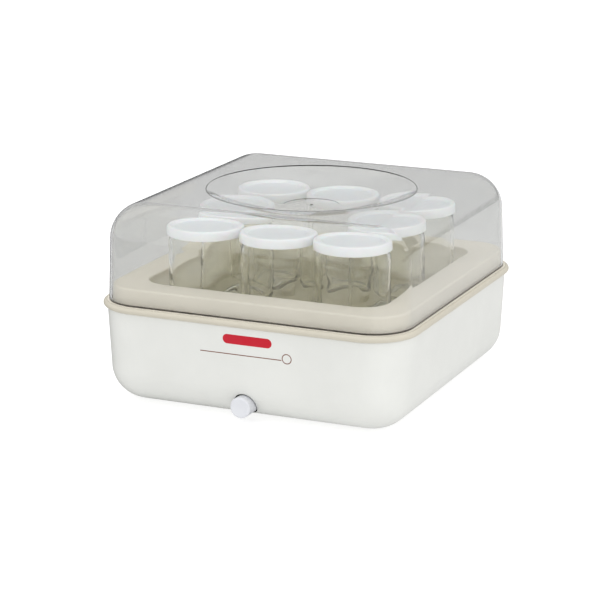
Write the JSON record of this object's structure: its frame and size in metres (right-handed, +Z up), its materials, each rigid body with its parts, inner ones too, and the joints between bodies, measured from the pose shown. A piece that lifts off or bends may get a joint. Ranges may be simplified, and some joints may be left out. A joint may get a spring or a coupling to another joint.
{
  "type": "yogurt maker",
  "caption": "Square electric yogurt maker: bellied white base, beige tray with a deep well of capped glass jars, clear smoked lid with a round dish, and a push button at the front.",
  "frame": {"origin": "centre of the footprint, on the surface the feet stand on", "axes": "+X to the user's right, -Y to the front where the button is, +Z up"},
  "size_m": [0.27, 0.2792, 0.1631],
  "materials": {
    "shell_white": "smooth moulded, soft gloss",
    "cover_grey": "fine grained",
    "tray_beige": "smooth moulded, satin",
    "lid_smoke": "clear, lightly smoked",
    "button_white": "smooth",
    "jar_glass": "clear pressed glass",
    "cap_white": "flexible push-fit cap, satin",
    "foot_rubber": "matte",
    "black_rubber": "matte",
    "zinc_steel": "zinc plated",
    "aluminium_sheet": "mill finish",
    "brass": "bright",
    "inner_white_plastic": "moulded",
    "black_plastic": "moulded",
    "red_silicone": "silicone sheath",
    "crimp_plastic": "crimped sleeve",
    "fuse_sleeve": "glass-fibre sleeve",
    "felt": "needled felt",
    "brown_insulation": "PVC insulation",
    "white_insulation": "silicone insulation",
    "blue_insulation": "PVC insulation"
  },
  "bodies": {
    "base": {"outer_shell": "shell_white", "bottom_cover": "cover_grey", "jar_tray": "tray_beige", "button_spring": "zinc_steel", "switch_bracket": "inner_white_plastic", "bracket_screws": "zinc_steel", "switch_body": "black_plastic", "switch_tabs": "brass", "heat_spreader": "aluminium_sheet", "heater_cord": "red_silicone", "heater_clips": "aluminium_sheet", "heater_crimps": "crimp_plastic", "thermostat": "black_plastic", "thermal_fuse": "fuse_sleeve", "fuse_strap": "aluminium_sheet", "insulation_pad": "felt", "pad_retainer": "zinc_steel", "retainer_screws": "zinc_steel", "cord_gland": "black_rubber", "cord_clamp": "inner_white_plastic", "clamp_screws": "zinc_steel", "terminal_block": "inner_white_plastic", "terminal_screws": "brass", "block_screws": "zinc_steel", "lead_supply": "brown_insulation", "lead_switched": "brown_insulation", "lead_heater": "white_insulation", "lead_neutral": "blue_insulation", "foot_front_left": "foot_rubber", "cover_screw_front_left": "zinc_steel", "foot_front_right": "foot_rubber", "cover_screw_front_right": "zinc_steel", "foot_back_left": "foot_rubber", "cover_screw_back_left": "zinc_steel", "foot_back_right": "foot_rubber", "cover_screw_back_right": "zinc_steel"},
    "lid": {"lid": "lid_smoke"},
    "button": {"power_button": "button_white", "button_clip": "zinc_steel", "switch_plunger": "inner_white_plastic"},
    "jar_front_left": {"jar_front_left": "jar_glass"},
    "cap_front_left": {"cap_front_left": "cap_white"},
    "jar_front_centre": {"jar_front_centre": "jar_glass"},
    "cap_front_centre": {"cap_front_centre": "cap_white"},
    "jar_front_right": {"jar_front_right": "jar_glass"},
    "cap_front_right": {"cap_front_right": "cap_white"},
    "jar_middle_left": {"jar_middle_left": "jar_glass"},
    "cap_middle_left": {"cap_middle_left": "cap_white"},
    "jar_middle_right": {"jar_middle_right": "jar_glass"},
    "cap_middle_right": {"cap_middle_right": "cap_white"},
    "jar_back_left": {"jar_back_left": "jar_glass"},
    "cap_back_left": {"cap_back_left": "cap_white"},
    "jar_back_centre": {"jar_back_centre": "jar_glass"},
    "cap_back_centre": {"cap_back_centre": "cap_white"},
    "jar_back_right": {"jar_back_right": "jar_glass"},
    "cap_back_right": {"cap_back_right": "cap_white"}
  },
  "joints": [
    {"name": "lid_lift", "type": "slide", "parent": "base", "child": "lid", "axis": [0, 0, 1], "range_m": [0, 0.3]},
    {"name": "button_press", "type": "slide", "parent": "base", "child": "button", "axis": [0, 1, 0], "range_m": [0, 0.0035], "stiffness_N_per_m": 400, "springref_m": -0.002, "deforming": ["button_spring"]},
    {"name": "jar_front_left_lift", "type": "slide", "parent": "base", "child": "jar_front_left", "axis": [0, 0, 1], "range_m": [0, 0.12]},
    {"name": "cap_front_left_off", "type": "slide", "parent": "jar_front_left", "child": "cap_front_left", "axis": [0, 0, 1], "range_m": [0, 0.045]},
    {"name": "jar_front_centre_lift", "type": "slide", "parent": "base", "child": "jar_front_centre", "axis": [0, 0, 1], "range_m": [0, 0.12]},
    {"name": "cap_front_centre_off", "type": "slide", "parent": "jar_front_centre", "child": "cap_front_centre", "axis": [0, 0, 1], "range_m": [0, 0.045]},
    {"name": "jar_front_right_lift", "type": "slide", "parent": "base", "child": "jar_front_right", "axis": [0, 0, 1], "range_m": [0, 0.12]},
    {"name": "cap_front_right_off", "type": "slide", "parent": "jar_front_right", "child": "cap_front_right", "axis": [0, 0, 1], "range_m": [0, 0.045]},
    {"name": "jar_middle_left_lift", "type": "slide", "parent": "base", "child": "jar_middle_left", "axis": [0, 0, 1], "range_m": [0, 0.12]},
    {"name": "cap_middle_left_off", "type": "slide", "parent": "jar_middle_left", "child": "cap_middle_left", "axis": [0, 0, 1], "range_m": [0, 0.045]},
    {"name": "jar_middle_right_lift", "type": "slide", "parent": "base", "child": "jar_middle_right", "axis": [0, 0, 1], "range_m": [0, 0.12]},
    {"name": "cap_middle_right_off", "type": "slide", "parent": "jar_middle_right", "child": "cap_middle_right", "axis": [0, 0, 1], "range_m": [0, 0.045]},
    {"name": "jar_back_left_lift", "type": "slide", "parent": "base", "child": "jar_back_left", "axis": [0, 0, 1], "range_m": [0, 0.12]},
    {"name": "cap_back_left_off", "type": "slide", "parent": "jar_back_left", "child": "cap_back_left", "axis": [0, 0, 1], "range_m": [0, 0.045]},
    {"name": "jar_back_centre_lift", "type": "slide", "parent": "base", "child": "jar_back_centre", "axis": [0, 0, 1], "range_m": [0, 0.12]},
    {"name": "cap_back_centre_off", "type": "slide", "parent": "jar_back_centre", "child": "cap_back_centre", "axis": [0, 0, 1], "range_m": [0, 0.045]},
    {"name": "jar_back_right_lift", "type": "slide", "parent": "base", "child": "jar_back_right", "axis": [0, 0, 1], "range_m": [0, 0.12]},
    {"name": "cap_back_right_off", "type": "slide", "parent": "jar_back_right", "child": "cap_back_right", "axis": [0, 0, 1], "range_m": [0, 0.045]}
  ],
  "couplings": [
    {"joint": "jar_front_left_lift", "follows": "lid_lift", "ratio": 0.4},
    {"joint": "cap_front_left_off", "follows": "lid_lift", "ratio": 0.15},
    {"joint": "jar_front_centre_lift", "follows": "lid_lift", "ratio": 0.4},
    {"joint": "cap_front_centre_off", "follows": "lid_lift", "ratio": 0.15},
    {"joint": "jar_front_right_lift", "follows": "lid_lift", "ratio": 0.4},
    {"joint": "cap_front_right_off", "follows": "lid_lift", "ratio": 0.15},
    {"joint": "jar_middle_left_lift", "follows": "lid_lift", "ratio": 0.4},
    {"joint": "cap_middle_left_off", "follows": "lid_lift", "ratio": 0.15},
    {"joint": "jar_middle_right_lift", "follows": "lid_lift", "ratio": 0.4},
    {"joint": "cap_middle_right_off", "follows": "lid_lift", "ratio": 0.15},
    {"joint": "jar_back_left_lift", "follows": "lid_lift", "ratio": 0.4},
    {"joint": "cap_back_left_off", "follows": "lid_lift", "ratio": 0.15},
    {"joint": "jar_back_centre_lift", "follows": "lid_lift", "ratio": 0.4},
    {"joint": "cap_back_centre_off", "follows": "lid_lift", "ratio": 0.15},
    {"joint": "jar_back_right_lift", "follows": "lid_lift", "ratio": 0.4},
    {"joint": "cap_back_right_off", "follows": "lid_lift", "ratio": 0.15}
  ]
}
